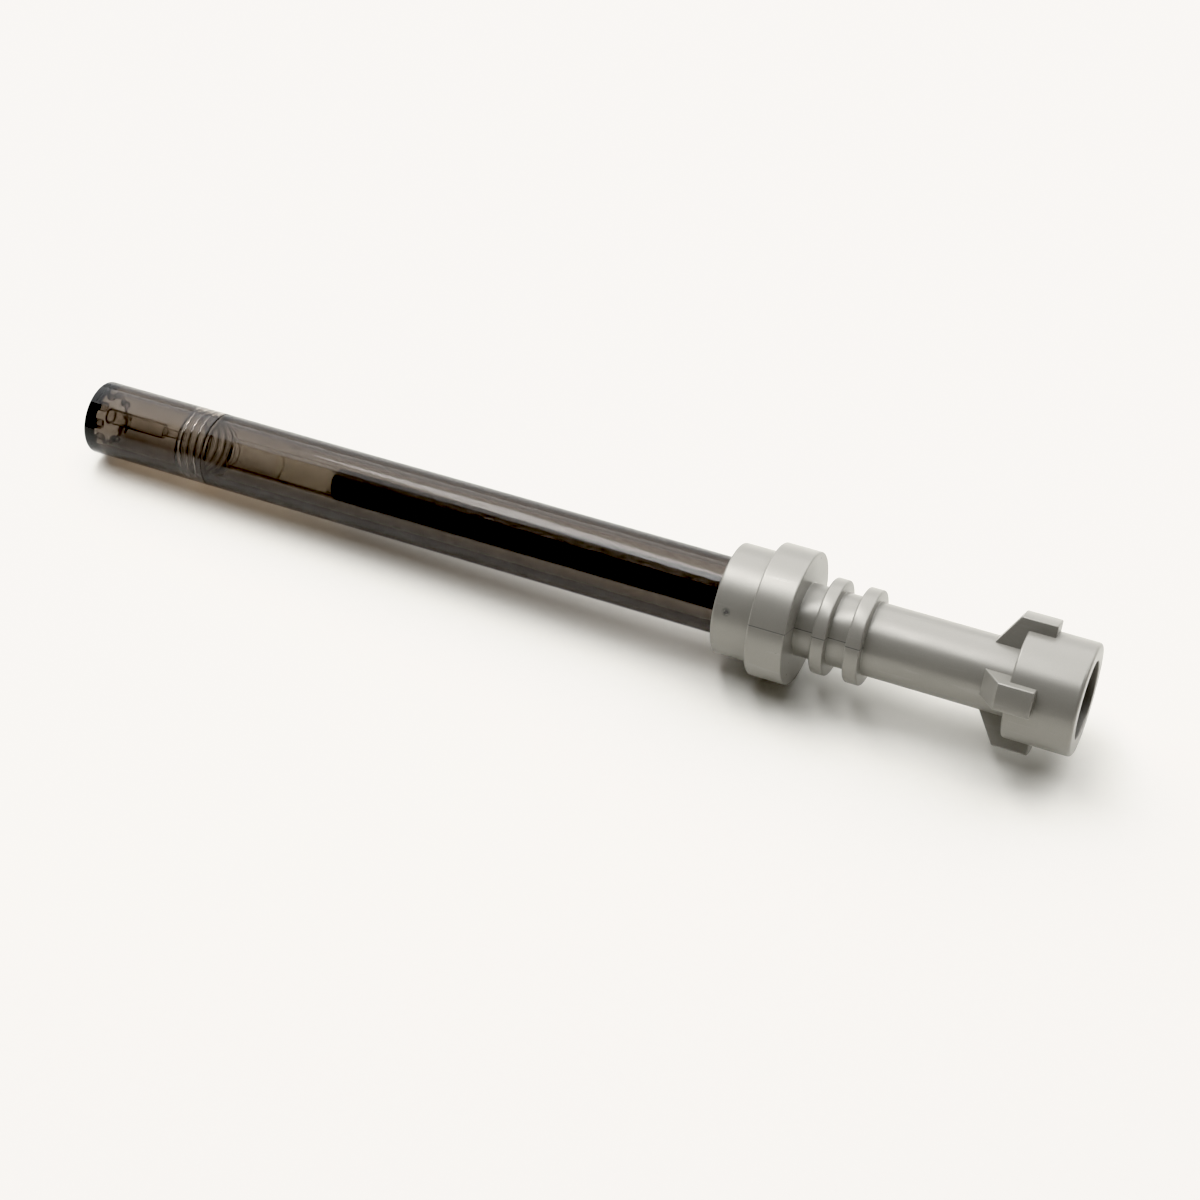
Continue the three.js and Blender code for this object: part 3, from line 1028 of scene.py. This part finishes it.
def make_lamp(name, place, aim, size, radiance, turn=0):
    """A rectangular soft lamp. Place and aim are in millimetres, turn in degrees about its aim."""
    light = bpy.data.lights.new(name, "AREA")
    light.shape = "RECTANGLE"
    light.size, light.size_y = (side * MM for side in size)
    light.energy = radiance * math.pi * light.size * light.size_y
    lamp = bpy.data.objects.new(name, light)
    lamp.location = Vector(place) * MM
    towards = (Vector(aim) - Vector(place)).normalized()
    facing = towards.to_track_quat("-Z", "Y") @ Quaternion((0, 0, 1), math.radians(turn))
    lamp.rotation_euler = facing.to_euler()
    bpy.context.scene.collection.objects.link(lamp)


def make_world():
    world = bpy.data.worlds.new("studio")
    world.use_nodes = True
    background = world.node_tree.nodes["Background"]
    background.inputs["Color"].default_value = colour(1.0, 0.88, 0.74)
    background.inputs["Strength"].default_value = 0.045
    bpy.context.scene.world = world


def make_camera():
    """Looks down on the pen from its writing end's near side."""
    eye = Vector((106.258, -205.955, 235.533)) * MM
    aim = Vector((5.252, 1.085, 0)) * MM
    floor_up = Vector((0.03753, 0, 0.9993))
    forward = (aim - eye).normalized()
    right = forward.cross(floor_up).normalized()
    up = right.cross(forward)
    camera = bpy.data.cameras.new("camera")
    camera.lens = 68.816
    camera.sensor_width = 36
    camera.clip_start = 0.01
    camera.clip_end = 20
    obj = bpy.data.objects.new("camera", camera)
    turn = Matrix((right, up, -forward)).transposed().to_4x4()
    obj.matrix_world = Matrix.Translation(eye) @ turn
    bpy.context.scene.collection.objects.link(obj)
    bpy.context.scene.camera = obj


def set_film():
    """A plain response with deep blacks, which rolls off softly so that paper stays off-white."""
    view = bpy.context.scene.view_settings
    view.view_transform = "Standard"
    view.use_curve_mapping = True
    mapping = view.curve_mapping
    mapping.extend = "HORIZONTAL"
    mapping.black_level = (FILM_BLACK,) * 3
    for channel, paper in zip(mapping.curves, FILM_PAPER):
        channel.points[1].location = (FILM_WHITE, paper)
        channel.points.new(*FILM_KNEE)
    mapping.clip_max_x = mapping.clip_max_y = 2
    mapping.update()


build_pieces()
make_floor()
make_world()
make_lamp("softbox", (-100, 350, 560), (-50, 60, 0), (1800, 850), 2.5)
make_lamp("strip", (-120, 40, 515), (-120, 40, 0), (540, 110), 8.0, turn=-57)
make_lamp("backdrop", (200, 730, 190), (200, 0, 100), (1800, 360), 1.05)
make_camera()
set_film()
